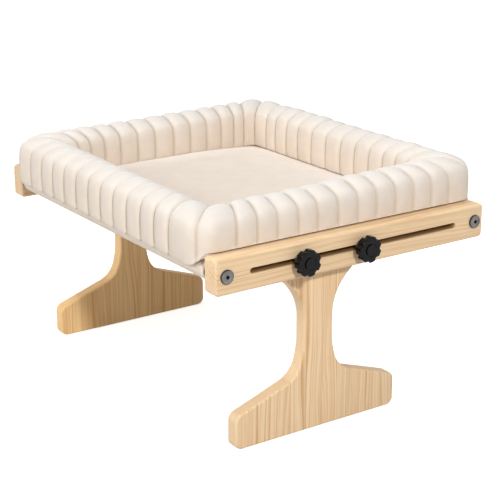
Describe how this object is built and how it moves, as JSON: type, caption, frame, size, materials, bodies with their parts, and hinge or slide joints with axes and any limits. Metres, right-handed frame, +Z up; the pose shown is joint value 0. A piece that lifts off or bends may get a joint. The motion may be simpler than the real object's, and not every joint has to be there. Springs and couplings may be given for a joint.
{
  "type": "pet hammock",
  "caption": "Low wooden pet hammock with a ribbed cushion on a cloth sling between slotted rails, carried by sliding board legs that star knobs clamp.",
  "frame": {"origin": "centre of the bounding box, on the floor under the legs", "axes": "+X along the rails to the right, +Y from the front rail to the rear rail, +Z up"},
  "size_m": [0.4222, 0.5508, 0.3026],
  "materials": {
    "pine": "clear satin lacquer",
    "plush": "short soft pile",
    "canvas": "plain weave",
    "black_plastic": "semi-gloss",
    "grey_plastic": "matt",
    "zinc_steel": "zinc plated",
    "tube_steel": "satin paint"
  },
  "bodies": {
    "frame": {"front_rail": "pine", "rear_rail": "pine", "left_cross_tube": "tube_steel", "right_cross_tube": "tube_steel", "tube_end_plugs": "grey_plastic", "rail_bolts": "zinc_steel", "sling": "canvas", "cushion_bolster": "plush", "cushion_pad": "plush"},
    "front_leg": {"front_leg": "pine", "front_leg_inserts": "zinc_steel"},
    "front_left_washer": {"front_left_washer": "zinc_steel"},
    "front_left_knob": {"front_left_knob_grip": "black_plastic", "front_left_knob_stud": "zinc_steel"},
    "front_right_washer": {"front_right_washer": "zinc_steel"},
    "front_right_knob": {"front_right_knob_grip": "black_plastic", "front_right_knob_stud": "zinc_steel"},
    "rear_leg": {"rear_leg": "pine", "rear_leg_inserts": "zinc_steel"},
    "rear_left_washer": {"rear_left_washer": "zinc_steel"},
    "rear_left_knob": {"rear_left_knob_grip": "black_plastic", "rear_left_knob_stud": "zinc_steel"},
    "rear_right_washer": {"rear_right_washer": "zinc_steel"},
    "rear_right_knob": {"rear_right_knob_grip": "black_plastic", "rear_right_knob_stud": "zinc_steel"}
  },
  "joints": [
    {"name": "front_leg_slide", "type": "slide", "parent": "frame", "child": "front_leg", "axis": [1, 0, 0], "range_m": [-0.067, 0.145]},
    {"name": "front_left_knob_turn", "type": "hinge", "parent": "front_left_washer", "child": "front_left_knob", "pos_m": [-0.08335, -0.2692, 0.2315], "axis": [0, -1, 0], "range_deg": [0, 540]},
    {"name": "front_left_knob_back_off", "type": "slide", "parent": "front_leg", "child": "front_left_washer", "axis": [0, -1, 0], "range_m": [0, 0.0015]},
    {"name": "front_right_knob_turn", "type": "hinge", "parent": "front_right_washer", "child": "front_right_knob", "pos_m": [0.00535, -0.2692, 0.2315], "axis": [0, -1, 0], "range_deg": [0, 540]},
    {"name": "front_right_knob_back_off", "type": "slide", "parent": "front_leg", "child": "front_right_washer", "axis": [0, -1, 0], "range_m": [0, 0.0015]},
    {"name": "rear_leg_slide", "type": "slide", "parent": "frame", "child": "rear_leg", "axis": [1, 0, 0], "range_m": [-0.067, 0.145]},
    {"name": "rear_left_knob_turn", "type": "hinge", "parent": "rear_left_washer", "child": "rear_left_knob", "pos_m": [-0.08335, 0.2692, 0.2315], "axis": [0, 1, 0], "range_deg": [0, 540]},
    {"name": "rear_left_knob_back_off", "type": "slide", "parent": "rear_leg", "child": "rear_left_washer", "axis": [0, 1, 0], "range_m": [0, 0.0015]},
    {"name": "rear_right_knob_turn", "type": "hinge", "parent": "rear_right_washer", "child": "rear_right_knob", "pos_m": [0.00535, 0.2692, 0.2315], "axis": [0, 1, 0], "range_deg": [0, 540]},
    {"name": "rear_right_knob_back_off", "type": "slide", "parent": "rear_leg", "child": "rear_right_washer", "axis": [0, 1, 0], "range_m": [0, 0.0015]}
  ],
  "couplings": [
    {"joint": "front_left_knob_turn", "follows": "front_left_knob_back_off", "rad_per_m": 6283.1},
    {"joint": "front_right_knob_turn", "follows": "front_right_knob_back_off", "rad_per_m": 6283.1},
    {"joint": "rear_left_knob_turn", "follows": "rear_left_knob_back_off", "rad_per_m": 6283.1},
    {"joint": "rear_right_knob_turn", "follows": "rear_right_knob_back_off", "rad_per_m": 6283.1}
  ]
}
